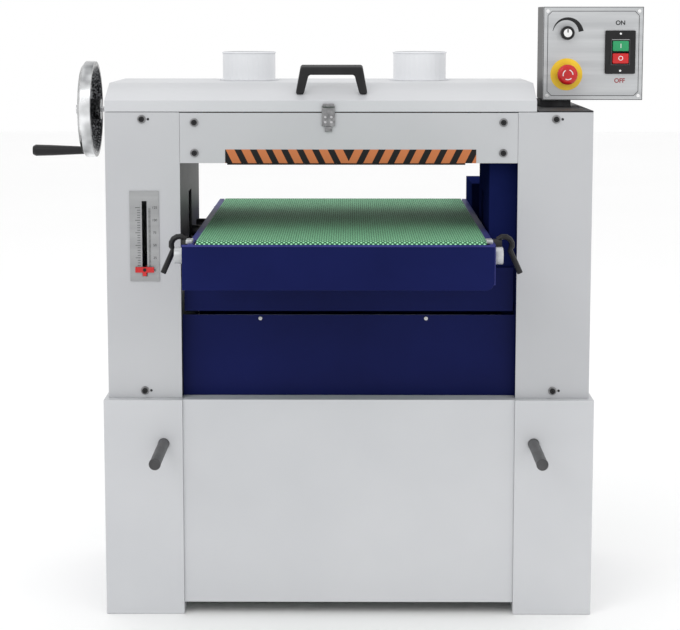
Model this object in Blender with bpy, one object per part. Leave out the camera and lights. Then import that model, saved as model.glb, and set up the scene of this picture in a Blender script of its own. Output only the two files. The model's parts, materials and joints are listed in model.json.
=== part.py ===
# Double drum thickness sander: two drums over a rising conveyor table.
# Metres, +Z up, front of the machine towards -Y.
import bmesh
import bpy
import math
from mathutils import Matrix, Vector

# Clearances and sheet used all over
SHEET = 0.003
GAP = 0.0003
RUN_CLEAR = 0.004
FACET_CLEAR = 0.0004

# Stand
BASE_HALF = 0.488
POD_WIDTH = 0.157
BASE_DEPTH = 0.482
BASE_HEIGHT = 0.440
PANEL_LIFT = 0.024
PANEL_RECESS = 0.005
FLANGE = 0.076
BAR_X = 0.369
BAR_Z = 0.351
BAR_RADIUS = 0.011
BAR_OUT = 0.165
BAR_IN = 0.060

# Columns, beams and covers
COLUMN_HALF = 0.480
COLUMN_INNER = 0.333
COLUMN_DEPTH = 0.440
COLUMN_TOP = 1.011
BEAM_BOTTOM = 0.911
BEAM_LIP = 0.020
COVER_RECESS = 0.028
COVER_TOP = 0.604
GUARD_X = 0.280
GUARD_DEPTH = 0.270
GUARD_BOTTOM = 0.630
CAP_CLEAR = 0.0035
LID_GAP = 0.001
ARM_SLOT_CLEAR = 0.007
ARM_SLOT_END = 0.010
CHAIN_ROOM = 0.030

# Hood, handle, latch and dust ports
HOOD_RIGHT = 0.369
HOOD_LIP = 0.023
HOOD_TOP = 1.066
HOOD_SLOPE = 0.080
HOOD_BACK_SLOPE = 0.110
HOOD_SHEET = 0.0025
PORT_X = (-0.209, 0.148)
PORT_Y = 0.030
PORT_RADIUS = 0.055
PORT_WALL = 0.002
PORT_FLANGE = 0.008
PORT_TOP = 1.125
HANDLE_X = -0.034
HANDLE_WIDTH = 0.142
HANDLE_HEIGHT = 0.054
HANDLE_BAR = 0.016
HANDLE_DEPTH = 0.016
HANDLE_TAPER = 0.010
HANDLE_BACK = 0.032
LATCH_X = -0.040
LATCH_WIDTH = 0.026
LATCH_LENGTH = 0.040
LATCH_THICK = 0.0028
LATCH_CLEAR = 0.0008
LATCH_PIN_RISE = 0.012
LATCH_PIN_OUT = 0.0046
LATCH_KNUCKLE = 0.004
LATCH_INSET = 0.002
HINGE_OUT = 0.0058
HINGE_DROP = 0.002
HINGE_END = 0.080
HINGE_LEAF = 0.0025
HINGE_TALL = 0.034
HINGE_RADIUS = 0.005

# Drums, pressure rollers and their drive
DRUM_RADIUS = 0.0635
DRUM_LENGTH = 0.560
DRUM_SPACING = 0.180
DRUM_CLEAR = 0.002
SHAFT_RADIUS = 0.0125
SHAFT_END = 0.020
PRESS_RADIUS = 0.014
PRESS_STUB = 0.006
PRESS_BACK = 0.042
BEARING_RADIUS = 0.034
BEARING_WIDTH = 0.003
PULLEY_RADIUS = 0.050
PULLEY_WIDTH = 0.022
MOTOR_PULLEY_RADIUS = 0.045
DRIVE_BELT = 0.006
DRIVE_BELT_INSET = 0.002
MOTOR_Z = 0.180
MOTOR_RADIUS = 0.090
MOTOR_LENGTH = 0.230
MOTOR_FLANGE = 0.012
MOTOR_SHAFT = 0.014
MOTOR_SHAFT_IN = 0.045
MOTOR_SOCKET = 0.050
MOTOR_BORE = 0.020

# Conveyor table
TABLE_X = -0.0135
BELT_WIDTH = 0.545
BELT_TOP = 0.779
BELT_THICK = 0.003
BELT_LENGTH = 0.840
ROLLER_RADIUS = 0.025
ROLLER_OVER = 0.002
JOURNAL = 0.010
JOURNAL_OUT = 0.012
RAIL = 0.010
RAIL_GAP = 0.005
RAIL_DEPTH = 0.075
RAIL_STEP = 0.001
RAIL_BACK = 0.005
APRON_WIDTH = 0.583
APRON_HEIGHT = 0.086
APRON_SHIFT = 0.006
APRON_CLEAR = 0.009
APRON_CORNER = 0.016
SKIRT_BOTTOM = 0.612
LIFT_TRAVEL = 0.125
ARM_HALF = 0.025
ARM_HEIGHT = 0.052
ARM_LAP = 0.002
ARM_END = 0.010
GEARBOX_TOP = 0.828
GEARBOX_LENGTH = 0.180
GEARBOX_SOCKET = 0.014
LEVER_BACK = 0.060
LEVER_Z = 0.765
LEVER_HUB = 0.014
LEVER_HUB_WIDTH = 0.016
LEVER_ROD = 0.0055
LEVER_START = (0.008, 0.012)
LEVER_BEND = (0.020, 0.002)
LEVER_BEND_RADIUS = 0.016
LEVER_END = (0.052, -0.052)

# Lift drive and handwheel
SCREW_X = 0.405
SCREW_RADIUS = 0.012
SPROCKET_RADIUS = 0.024
SPROCKET_LIFT = 0.004
SPROCKET_TALL = 0.012
CHAIN = 0.006
CHAIN_TALL = 0.008
AXLE_Z = 1.006
AXLE_RADIUS = 0.0055
AXLE_END = 0.008
GEAR_RADIUS = 0.0215
CROWN_OVER = 0.001
GEAR_WIDTH = 0.012
WHEEL_STAND = 0.046
WHEEL_RADIUS = 0.100
WHEEL_RIM = 0.026
WHEEL_WIDTH = 0.027
WHEEL_HUB = 0.022
HUB_OUT = 0.007
HUB_IN = 0.010
RIM_CROWN = (0.008, 0.017)
RIM_SHOULDER = 0.007
RIM_WALL = 0.008
RIM_WEB = 0.010
SPOKE_HALF = 0.011
SPOKE_LAP = 0.004
SPOKE_NEAR = 0.002
GRIP_ARM = 0.086
GRIP_LENGTH = 0.107
GRIP_RADIUS = 0.012
GRIP_BORE = 0.002
GRIP_NOSE = (0.003, 0.006)
GRIP_BELLY = (0.001, 0.040)
GRIP_NECK = 0.004

# Scale and pointer
SCALE_X = -0.404
SCALE_WIDTH = 0.058
SCALE_BOTTOM = 0.676
SCALE_HEIGHT = 0.180
SCALE_THICK = 0.0015
SCALE_SLOT = 0.010
SLOT_FOOT = 0.010
SLOT_HEAD = 0.020
POINTER_Z = 0.697
POINTER_WIDTH = 0.037
POINTER_OUT = 0.004
POINTER_THICK = 0.003
POINTER_DROP = 0.003
POINTER_RISE = 0.008
POINTER_TAIL = 0.010
POINTER_TAIL_HALF = 0.004
STEM_CLEAR = 0.002
STEM_LAP = 0.001
STEM_FOOT = 0.006

# Control box
BOX_LEFT = 0.3955
BOX_WIDTH = 0.2035
BOX_BOTTOM = 1.0284
BOX_HEIGHT = 0.189
BOX_FRONT = -0.070
BOX_DEPTH = 0.110
BRACKET_WIDTH = 0.063
BRACKET_OVER = 0.004
BRACKET_BACK = 0.012
DIAL_X = 0.4435
KNOB_Z = 1.1645
KNOB_RADIUS = 0.014
KNOB_DEPTH = 0.016
KNOB_STEM = 0.004
KNOB_STEM_IN = 0.010
STOP_Z = 1.0806
STOP_RADIUS = 0.0205
STOP_STAND = 0.008
STOP_DEPTH = 0.020
STOP_CROWN = (0.006, 0.018)
STOP_SIDE = (0.011, 0.005)
STOP_UNDER = 0.004
STOP_CORE = 0.001
STOP_STEM = 0.008
STOP_STEM_IN = 0.012
STOP_STEM_LAP = 0.006
SWITCH_X = 0.552
SWITCH_Z = 1.1256
SWITCH_SIZE = (0.062, 0.088)
SWITCH_THICK = 0.006
BUTTON_SIZE = (0.0325, 0.021)
BUTTON_PITCH = 0.025
BUTTON_OUT = 0.011

# Places that follow from the sizes above
POD_INNER = BASE_HALF - POD_WIDTH
FRONT = -COLUMN_DEPTH / 2
BASE_FRONT = -BASE_DEPTH / 2
LOW = BASE_HEIGHT + GAP
DRUM_Y = DRUM_SPACING / 2
DRUM_Z = BELT_TOP + LIFT_TRAVEL + DRUM_CLEAR + DRUM_RADIUS
PRESS_Y = COLUMN_DEPTH / 2 - PRESS_BACK
PRESS_Z = BELT_TOP + LIFT_TRAVEL + 2 * DRUM_CLEAR + PRESS_RADIUS
COVER_Y = FRONT + COVER_RECESS
ROLLER_Z = BELT_TOP - BELT_THICK - GAP - ROLLER_RADIUS
ROLLER_Y = BELT_LENGTH / 2 - BELT_THICK - ROLLER_RADIUS
BELT_LEFT = TABLE_X - BELT_WIDTH / 2
BELT_RIGHT = TABLE_X + BELT_WIDTH / 2
RAIL_LEFT = BELT_LEFT - RAIL_GAP
RAIL_RIGHT = BELT_RIGHT + RAIL_GAP
TABLE_LEFT = RAIL_LEFT - RAIL
TABLE_RIGHT = RAIL_RIGHT + RAIL
TABLE_FRONT = -BELT_LENGTH / 2 - APRON_CLEAR
RAIL_TOP = BELT_TOP - BELT_THICK - RAIL_STEP
RAIL_LOW = RAIL_TOP - RAIL_DEPTH
ARM_TOP = RAIL_LOW + ARM_LAP
ARM_BOTTOM = ARM_TOP - ARM_HEIGHT
LEVER_Y = -BELT_LENGTH / 2 + LEVER_BACK
WALL_BACK = COLUMN_INNER + SHEET + GAP
PULLEY_X = WALL_BACK + BEARING_WIDTH + GAP
DRIVE_END = PULLEY_X + PULLEY_WIDTH + RUN_CLEAR
WHEEL_IN = -COLUMN_HALF - WHEEL_STAND
WHEEL_OUT = WHEEL_IN - WHEEL_WIDTH
GRIP_START = WHEEL_OUT - GAP
GRIP_END = GRIP_START - GRIP_LENGTH
ORIGIN_X = -(GRIP_END + BOX_LEFT + BOX_WIDTH) / 2
HINGE_Y = -FRONT + HINGE_OUT
HINGE_Z = COLUMN_TOP - HINGE_DROP
HOOD_LOW = COLUMN_TOP + LID_GAP
LIP_TOP = COLUMN_TOP + HOOD_LIP

# Facets
SIDES = 20
SHAFT_SIDES = 24
PIN_SIDES = 16
ROD_SIDES = 8
DRUM_SIDES = 32
RIM_SIDES = 40
SPOKES = 3
CORNER_STEPS = 5
LEVER_ARC = (100, -40, 5)

# Looks
SMOOTH_ANGLE = math.radians(35)
PAINT = ((0.72, 0.73, 0.75, 1), 0.45, 0.0)
NAVY = ((0.015, 0.02, 0.09, 1), 0.4, 0.0)
DARK = ((0.03, 0.03, 0.033, 1), 0.5, 0.0)
STEEL = ((0.6, 0.6, 0.6, 1), 0.3, 1.0)
GREEN = ((0.08, 0.25, 0.12, 1), 0.8, 0.0)
ABRASIVE = ((0.35, 0.16, 0.08, 1), 0.9, 0.0)
RED = ((0.6, 0.02, 0.02, 1), 0.35, 0.0)
LEAF = ((0.05, 0.45, 0.12, 1), 0.35, 0.0)

for old in list(bpy.data.objects):
    bpy.data.objects.remove(old, do_unlink=True)

machine = bpy.data.objects.new("machine", None)
machine.location = (ORIGIN_X, 0, 0)
bpy.context.collection.objects.link(machine)


def turn(axis):
    # Rotation that takes Z to the named axis.
    if axis == "X":
        return Matrix(((0, 0, 1), (1, 0, 0), (0, 1, 0)))
    if axis == "Y":
        return Matrix(((0, 1, 0), (0, 0, 1), (1, 0, 0)))
    return Matrix.Identity(3)


def block(x, y, z):
    # A box from its lowest and highest value on each axis.
    points = [Vector((a, b, c)) for a in x for b in y for c in z]
    faces = [(0, 1, 3, 2), (4, 6, 7, 5), (0, 4, 5, 1), (2, 3, 7, 6), (0, 2, 6, 4), (1, 5, 7, 3)]
    return points, faces


def prism(outline, axis, start, end):
    # An outline in the plane across the axis, drawn out along it.
    m = turn(axis)
    n = len(outline)
    points = [m @ Vector((u, v, start)) for u, v in outline]
    points += [m @ Vector((u, v, end)) for u, v in outline]
    faces = [tuple(reversed(range(n))), tuple(range(n, 2 * n))]
    faces += [(i, (i + 1) % n, n + (i + 1) % n, n + i) for i in range(n)]
    return points, faces


def circle(u, v, radius, sides=SIDES):
    steps = [2 * math.pi * i / sides for i in range(sides)]
    return [(u + radius * math.cos(a), v + radius * math.sin(a)) for a in steps]


def rod(axis, u, v, radius, start, end, sides=SIDES):
    return prism(circle(u, v, radius, sides), axis, start, end)


def turned(axis, u, v, profile, sides=SIDES):
    # A closed profile of (radius, along), spun round the axis.
    m = turn(axis)
    n = len(profile)
    points = []
    for i in range(sides):
        a = 2 * math.pi * i / sides
        for r, along in profile:
            points.append(m @ Vector((u + r * math.cos(a), v + r * math.sin(a), along)))
    faces = []
    for i in range(sides):
        j = (i + 1) % sides
        for k in range(n):
            q = (k + 1) % n
            faces.append((i * n + k, j * n + k, j * n + q, i * n + q))
    return points, faces


def ring(axis, u, v, inner, outer, start, end, sides=SIDES):
    return turned(axis, u, v, [(inner, start), (outer, start), (outer, end), (inner, end)], sides)


def swept(path, radius, sides=ROD_SIDES):
    # A round bar along a path that lies in one plane across Y.
    points = []
    n = len(path)
    side = Vector((0, 1, 0))
    for i, p in enumerate(path):
        ahead = (path[min(i + 1, n - 1)] - path[max(i - 1, 0)]).normalized()
        up = side.cross(ahead)
        for k in range(sides):
            a = 2 * math.pi * k / sides
            points.append(p + radius * (math.cos(a) * side + math.sin(a) * up))
    faces = [tuple(reversed(range(sides))), tuple(range((n - 1) * sides, n * sides))]
    for i in range(n - 1):
        for k in range(sides):
            q = (k + 1) % sides
            faces.append((i * sides + k, i * sides + q, (i + 1) * sides + q, (i + 1) * sides + k))
    return points, faces


def body(name, shape, origin):
    mesh = bpy.data.meshes.new(name)
    mesh.from_pydata([p - origin for p in shape[0]], [], shape[1])
    faces = bmesh.new()
    faces.from_mesh(mesh)
    bmesh.ops.recalc_face_normals(faces, faces=faces.faces)
    faces.to_mesh(mesh)
    faces.free()
    item = bpy.data.objects.new(name, mesh)
    item.location = origin
    item.parent = machine
    bpy.context.collection.objects.link(item)
    return item


def piece(name, finish, shape, adds=(), cuts=(), origin=(0, 0, 0)):
    # One solid: a first shape, with shapes joined to it and shapes cut from it.
    item = body(name, shape, Vector(origin))
    colour, rough, metal = finish
    material = bpy.data.materials.new(name)
    material.use_nodes = True
    shader = material.node_tree.nodes["Principled BSDF"]
    shader.inputs["Base Color"].default_value = colour
    shader.inputs["Roughness"].default_value = rough
    shader.inputs["Metallic"].default_value = metal
    item.data.materials.append(material)
    tools = [("UNION", s) for s in adds] + [("DIFFERENCE", s) for s in cuts]
    for i, (how, tool_shape) in enumerate(tools):
        tool = body(f"{name}_tool_{i}", tool_shape, Vector(origin))
        tool.hide_render = True
        tool.display_type = "WIRE"
        modifier = item.modifiers.new(f"tool_{i}", "BOOLEAN")
        modifier.operation = how
        modifier.solver = "EXACT"
        modifier.object = tool
    item.data.shade_smooth()
    item.data.set_sharp_from_angle(angle=SMOOTH_ANGLE)


def span(side, near, far):
    # Lowest and highest X of something that lies between two distances on one side.
    return tuple(sorted((side * near, side * far)))


def hull(points):
    # The convex outline round some points, anticlockwise.
    points = sorted({(round(u, 6), round(v, 6)) for u, v in points})

    def half(run):
        out = []
        for p in run:
            while len(out) > 1 and ((out[-1][0] - out[-2][0]) * (p[1] - out[-2][1])
                                    - (out[-1][1] - out[-2][1]) * (p[0] - out[-2][0])) <= 0:
                out.pop()
            out.append(p)
        return out[:-1]

    return half(points) + half(points[::-1])


def base():
    half = BASE_DEPTH / 2
    for name, side in (("left", -1), ("right", 1)):
        inside = block(span(side, POD_INNER + SHEET, BASE_HALF - SHEET), (-half + SHEET, half - SHEET),
                       (-SHEET, BASE_HEIGHT - SHEET))
        bar_hole = rod("Y", BAR_Z, side * BAR_X, BAR_RADIUS + GAP, BASE_FRONT - SHEET, BASE_FRONT + 2 * SHEET)
        cuts = [inside, bar_hole]
        if side > 0:
            reach = DRUM_Y + PULLEY_RADIUS
            cuts.append(block((COLUMN_INNER + 2 * SHEET, DRIVE_END), (-reach, reach),
                              (BASE_HEIGHT - 2 * SHEET, COLUMN_TOP)))
            cuts.append(rod("X", 0, MOTOR_Z, MOTOR_SHAFT + SHEET, POD_INNER - SHEET, POD_INNER + 2 * SHEET))
        pod = block(span(side, POD_INNER, BASE_HALF), (-half, half), (0, BASE_HEIGHT))
        piece(f"{name}_pod", PAINT, pod, cuts=cuts)
        bar = rod("Y", BAR_Z, side * BAR_X, BAR_RADIUS, BASE_FRONT - BAR_OUT, BASE_FRONT + BAR_IN)
        piece(f"{name}_lifting_bar", DARK, bar, origin=(side * BAR_X, BASE_FRONT, BAR_Z))
    wide = (-POD_INNER + GAP, POD_INNER - GAP)
    face = BASE_FRONT + PANEL_RECESS
    outline = [(face, PANEL_LIFT), (face + SHEET, PANEL_LIFT), (face + SHEET, BASE_HEIGHT - SHEET),
               (face + FLANGE, BASE_HEIGHT - SHEET), (face + FLANGE, BASE_HEIGHT), (face, BASE_HEIGHT)]
    piece("front_base_panel", PAINT, prism(outline, "X", *wide))
    piece("rear_base_panel", PAINT, prism([(-y, z) for y, z in outline], "X", *wide))
    width = COLUMN_INNER - GAP
    for name, y in (("lower_front_cover", COVER_Y), ("lower_rear_cover", -COVER_Y - SHEET)):
        piece(name, NAVY, block((-width, width), (y, y + SHEET), (LOW, COVER_TOP)))


def arm_slot(ends):
    # The room that a lift arm needs in a wall, over its whole travel.
    half = ARM_HALF + ARM_SLOT_CLEAR
    return block(ends, (-half, half), (ARM_BOTTOM - ARM_SLOT_END, ARM_TOP + LIFT_TRAVEL + ARM_SLOT_END))


def columns():
    near = FRONT + SHEET + GAP
    back = -FRONT - SHEET
    axle_notch = rod("X", 0, AXLE_Z, AXLE_RADIUS + GAP, -COLUMN_HALF - SHEET, -COLUMN_INNER + SHEET)
    for name, side in (("left", -1), ("right", 1)):
        outer = side * COLUMN_HALF
        inner = side * WALL_BACK
        web = side * (COLUMN_HALF - SHEET)
        outline = [(outer, near), (outer, -FRONT), (inner, -FRONT), (inner, back), (web, back), (web, near)]
        notch = [axle_notch] if side < 0 else []
        piece(f"{name}_column", PAINT, prism(outline, "Z", LOW, COLUMN_TOP), cuts=notch)
        cover = block(span(side, COLUMN_INNER, COLUMN_HALF), (FRONT, FRONT + SHEET), (LOW, COLUMN_TOP))
        slot = [scale_slot(FRONT - SHEET, FRONT + 2 * SHEET)] if side < 0 else []
        piece(f"{name}_column_cover", PAINT, cover, cuts=slot)
        wall = block(span(side, COLUMN_INNER, COLUMN_INNER + SHEET), (near, -FRONT), (LOW, COLUMN_TOP))
        ends = span(side, COLUMN_INNER - SHEET, COLUMN_INNER + 2 * SHEET)
        chain_half = SPROCKET_RADIUS + CHAIN + RUN_CLEAR
        chain_high = BASE_HEIGHT + CHAIN_ROOM
        holes = [arm_slot(ends), block(ends, (-chain_half, chain_half), (LOW - SHEET, chain_high))]
        holes += [rod("X", y, DRUM_Z, SHAFT_RADIUS + RUN_CLEAR, *ends) for y in (-DRUM_Y, DRUM_Y)]
        holes += [rod("X", y, PRESS_Z, PRESS_STUB + GAP, *ends) for y in (-PRESS_Y, PRESS_Y)]
        piece(f"{name}_inner_wall", DARK if side < 0 else NAVY, wall, cuts=holes + notch)
    beams()


def beams():
    wide = COLUMN_INNER - GAP
    top = COLUMN_TOP - LID_GAP
    outline = [(FRONT, BEAM_BOTTOM), (FRONT + BEAM_LIP, BEAM_BOTTOM), (FRONT + BEAM_LIP, BEAM_BOTTOM + SHEET),
               (FRONT + SHEET, BEAM_BOTTOM + SHEET), (FRONT + SHEET, top), (FRONT, top)]
    piece("front_beam", PAINT, prism(outline, "X", -wide, wide))
    piece("rear_beam", PAINT, prism([(-y, z) for y, z in outline], "X", -wide, wide))
    front = COVER_Y + 2 * SHEET
    back = front + GUARD_DEPTH
    guard = [(GUARD_X, front), (wide, front), (wide, front + SHEET), (GUARD_X + SHEET, front + SHEET),
             (GUARD_X + SHEET, back), (GUARD_X, back)]
    slot = arm_slot((GUARD_X - SHEET, GUARD_X + 2 * SHEET))
    high = BEAM_BOTTOM - 2 * SHEET
    piece("right_inner_guard", NAVY, prism(guard, "Z", GUARD_BOTTOM, high), cuts=[slot])
    seat = COLUMN_TOP + GAP
    cap = block((HOOD_RIGHT + CAP_CLEAR, COLUMN_HALF), (FRONT, -FRONT), (seat, seat + SHEET))
    piece("right_column_cap", DARK, cap)


def scale_slot(near, far):
    half = SCALE_SLOT / 2
    high = SCALE_BOTTOM + SCALE_HEIGHT - SLOT_HEAD
    return block((SCALE_X - half, SCALE_X + half), (near, far), (SCALE_BOTTOM + SLOT_FOOT, high))


def hood_outline(inset, low):
    front = FRONT + inset
    back = -FRONT - inset
    top = HOOD_TOP - inset
    return [(front, low), (back, low), (back, LIP_TOP), (-FRONT - HOOD_BACK_SLOPE, top),
            (FRONT + HOOD_SLOPE, top), (front, LIP_TOP)]


def hood():
    hinge = (0, HINGE_Y, HINGE_Z)
    ends = (-COLUMN_HALF + HOOD_SHEET, HOOD_RIGHT - HOOD_SHEET)
    inside = prism(hood_outline(HOOD_SHEET, HOOD_LOW - SHEET), "X", *ends)
    cuts = [inside]
    for x in PORT_X:
        cuts.append(rod("Z", x, PORT_Y, PORT_RADIUS - 2 * PORT_WALL, HOOD_TOP - 2 * SHEET, HOOD_TOP + SHEET))
    shell = prism(hood_outline(0, HOOD_LOW), "X", -COLUMN_HALF, HOOD_RIGHT)
    piece("hood", PAINT, shell, cuts=cuts, origin=hinge)
    foot = HOOD_TOP + GAP
    flange = PORT_RADIUS + PORT_FLANGE
    profile = [(PORT_RADIUS - PORT_WALL, foot), (flange, foot), (flange, foot + PORT_WALL),
               (PORT_RADIUS, foot + PORT_WALL), (PORT_RADIUS, PORT_TOP), (PORT_RADIUS - PORT_WALL, PORT_TOP)]
    for name, x in zip(("left_dust_port", "right_dust_port"), PORT_X):
        piece(name, PAINT, turned("Z", x, PORT_Y, profile, DRUM_SIDES), origin=hinge)
    piece("hood_handle", DARK, handle_shape(), origin=hinge)
    latch_and_hinge()


def latch_and_hinge():
    half = LATCH_WIDTH / 2
    pin = (FRONT - LATCH_PIN_OUT, HOOD_LOW + LATCH_PIN_RISE)
    face = FRONT - LATCH_CLEAR
    plate = block((LATCH_X - half, LATCH_X + half), (face - LATCH_THICK, face),
                  (pin[1] - LATCH_LENGTH, pin[1]))
    knuckle_half = half - LATCH_INSET
    knuckle = rod("X", *pin, LATCH_KNUCKLE, LATCH_X - knuckle_half, LATCH_X + knuckle_half, PIN_SIDES)
    piece("hood_latch", STEEL, plate, adds=[knuckle], origin=(LATCH_X, *pin))
    ends = (-COLUMN_HALF + HINGE_END, HOOD_RIGHT - HINGE_END)
    seat = -FRONT + GAP
    leaf = block(ends, (seat, seat + HINGE_LEAF), (HINGE_Z - HINGE_TALL, HINGE_Z - LID_GAP))
    barrel = rod("X", HINGE_Y, HINGE_Z, HINGE_RADIUS, *ends, PIN_SIDES)
    piece("hood_hinge", STEEL, leaf, adds=[barrel])


def handle_shape():
    # A bridge handle whose feet follow the slope of the hood's front.
    half = HANDLE_WIDTH / 2
    bar = HANDLE_BAR
    high = HANDLE_HEIGHT
    narrow = half - bar - HANDLE_TAPER
    outline = [(-half, 0), (bar - half, 0), (-narrow, high - bar), (narrow, high - bar),
               (half - bar, 0), (half, 0), (half - HANDLE_TAPER, high), (HANDLE_TAPER - half, high)]
    rise = (HOOD_TOP - LIP_TOP) / HOOD_SLOPE
    middle = FRONT + HANDLE_BACK
    foot = LIP_TOP + rise * HANDLE_BACK + GAP
    points, faces = prism(outline, "Z", -HANDLE_DEPTH / 2, HANDLE_DEPTH / 2)
    stood = [Vector((HANDLE_X + p.x, middle - p.z, foot + p.y - rise * p.z)) for p in points]
    return stood, faces


def drums():
    left = TABLE_X - DRUM_LENGTH / 2
    right = TABLE_X + DRUM_LENGTH / 2
    places = (-DRUM_Y, DRUM_Y)
    bore = SHAFT_RADIUS + GAP
    for name, y in zip(("front", "rear"), places):
        shaft = rod("X", y, DRUM_Z, SHAFT_RADIUS, -WALL_BACK - BEARING_WIDTH - SHAFT_END, DRIVE_END)
        drum = rod("X", y, DRUM_Z, DRUM_RADIUS, left, right, DRUM_SIDES)
        piece(f"{name}_drum", ABRASIVE, drum, adds=[shaft], origin=(0, y, DRUM_Z))
        # a turning pulley or roller is a little under size, so that its corners clear the belt's flats
        pulley = ring("X", y, DRUM_Z, bore, PULLEY_RADIUS - FACET_CLEAR, PULLEY_X, PULLEY_X + PULLEY_WIDTH)
        piece(f"{name}_drum_pulley", DARK, pulley, origin=(0, y, DRUM_Z))
    flange = hull([p for y in places for p in circle(y, DRUM_Z, BEARING_RADIUS)])
    for name, side in (("left", -1), ("right", 1)):
        ends = span(side, WALL_BACK, WALL_BACK + BEARING_WIDTH)
        far = span(side, WALL_BACK - SHEET, WALL_BACK + 2 * BEARING_WIDTH)
        cuts = [rod("X", y, DRUM_Z, bore, *far) for y in places]
        cuts.append(rod("X", 0, AXLE_Z, 2 * AXLE_RADIUS, *far))
        piece(f"{name}_bearing_plate", STEEL, prism(flange, "X", *ends), cuts=cuts)
    stub = COLUMN_INNER + SHEET + RUN_CLEAR
    for name, y in (("front", -PRESS_Y), ("rear", PRESS_Y)):
        axle = rod("X", y, PRESS_Z, PRESS_STUB, -stub, stub, SHAFT_SIDES)
        roller = rod("X", y, PRESS_Z, PRESS_RADIUS, left, right)
        piece(f"{name}_pressure_roller", STEEL, roller, adds=[axle], origin=(0, y, PRESS_Z))


def drive():
    seat = POD_INNER - GAP
    socket = MOTOR_SHAFT + GAP
    flange = MOTOR_RADIUS + MOTOR_FLANGE
    tail = seat - MOTOR_LENGTH
    profile = [(socket, seat - MOTOR_SOCKET), (socket, seat), (flange, seat), (flange, seat - MOTOR_FLANGE),
               (MOTOR_RADIUS, seat - MOTOR_FLANGE), (MOTOR_RADIUS, tail), (MOTOR_BORE, tail),
               (MOTOR_BORE, seat - MOTOR_SOCKET)]
    piece("main_motor", DARK, turned("X", 0, MOTOR_Z, profile, SHAFT_SIDES))
    spindle = rod("X", 0, MOTOR_Z, MOTOR_SHAFT, seat - MOTOR_SHAFT_IN, DRIVE_END)
    sheave = rod("X", 0, MOTOR_Z, MOTOR_PULLEY_RADIUS - FACET_CLEAR, PULLEY_X, PULLEY_X + PULLEY_WIDTH)
    piece("motor_pulley", DARK, sheave, adds=[spindle], origin=(0, 0, MOTOR_Z))
    near = PULLEY_X + DRIVE_BELT_INSET
    far = PULLEY_X + PULLEY_WIDTH - DRIVE_BELT_INSET
    inner = prism(belt_outline(2 * GAP), "X", near - SHEET, far + SHEET)
    outer = prism(belt_outline(2 * GAP + DRIVE_BELT), "X", near, far)
    piece("drive_belt", DARK, outer, cuts=[inner])


def belt_outline(grow):
    points = circle(0, MOTOR_Z, MOTOR_PULLEY_RADIUS + grow)
    for y in (-DRUM_Y, DRUM_Y):
        points += circle(y, DRUM_Z, PULLEY_RADIUS + grow)
    return hull(points)


def table():
    ends = (TABLE_FRONT + GAP, BELT_LENGTH / 2 + RAIL_BACK)
    inside = ROLLER_Y - ROLLER_RADIUS - RUN_CLEAR
    plate = block((RAIL_LEFT - RAIL_STEP, RAIL_RIGHT + RAIL_STEP), (-inside, inside),
                  (ROLLER_Z - ROLLER_RADIUS + RUN_CLEAR, BELT_TOP - BELT_THICK - GAP))
    adds = [block((TABLE_LEFT, RAIL_LEFT), ends, (RAIL_LOW, RAIL_TOP)),
            block((RAIL_RIGHT, TABLE_RIGHT), ends, (RAIL_LOW, RAIL_TOP)),
            lift_arm(-1, -TABLE_LEFT), lift_arm(1, TABLE_RIGHT)]
    across = (TABLE_LEFT - SHEET, TABLE_RIGHT + SHEET)
    cuts = [rod("X", y, ROLLER_Z, JOURNAL + GAP, *across, SHAFT_SIDES) for y in (-ROLLER_Y, ROLLER_Y)]
    piece("table_bed", NAVY, plate, adds=adds, cuts=cuts + [screw_hole(-1), screw_hole(1)])
    half = COLUMN_INNER - RUN_CLEAR
    skirt = block((-half, half), (COVER_Y, COVER_Y + SHEET), (SKIRT_BOTTOM, RAIL_LOW - GAP))
    piece("table_skirt", NAVY, skirt)
    piece("front_apron", NAVY, prism(apron_outline(), "Y", TABLE_FRONT - SHEET, TABLE_FRONT))
    for name, y in (("front", -ROLLER_Y), ("rear", ROLLER_Y)):
        ends = (TABLE_LEFT - JOURNAL_OUT, TABLE_RIGHT + JOURNAL_OUT)
        journal = rod("X", y, ROLLER_Z, JOURNAL, *ends, SHAFT_SIDES)
        ends = (BELT_LEFT - ROLLER_OVER, BELT_RIGHT + ROLLER_OVER)
        roller = rod("X", y, ROLLER_Z, ROLLER_RADIUS - FACET_CLEAR, *ends)
        piece(f"{name}_roller", STEEL, roller, adds=[journal], origin=(0, y, ROLLER_Z))
    inner = prism(conveyor_outline(GAP), "X", BELT_LEFT - SHEET, BELT_RIGHT + SHEET)
    outer = prism(conveyor_outline(GAP + BELT_THICK), "X", BELT_LEFT, BELT_RIGHT)
    piece("conveyor_belt", GREEN, outer, cuts=[inner])
    gearbox = block((TABLE_RIGHT + GAP, COLUMN_INNER),
                    (BELT_LENGTH / 2 - GEARBOX_LENGTH, -TABLE_FRONT + SHEET), (RAIL_LOW, GEARBOX_TOP))
    depth = (TABLE_RIGHT - SHEET, TABLE_RIGHT + GEARBOX_SOCKET)
    socket = rod("X", ROLLER_Y, ROLLER_Z, JOURNAL + GAP, *depth, SHAFT_SIDES)
    piece("feed_gearbox", NAVY, gearbox, cuts=[socket])
    for name, side, near in (("left", -1, -TABLE_LEFT), ("right", 1, TABLE_RIGHT)):
        lever(name, side, near + GAP)


def apron_outline():
    # Height and place across, with the lower right corner rounded.
    left = TABLE_X - APRON_SHIFT - APRON_WIDTH / 2
    right = left + APRON_WIDTH
    top = BELT_TOP - BELT_THICK
    low = top - APRON_HEIGHT
    r = APRON_CORNER
    steps = [math.pi / 2 * i / CORNER_STEPS for i in range(CORNER_STEPS + 1)]
    corner = [(low + r - r * math.cos(a), right - r + r * math.sin(a)) for a in steps]
    return [(top, left), (low, left)] + corner + [(top, right)]


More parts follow.
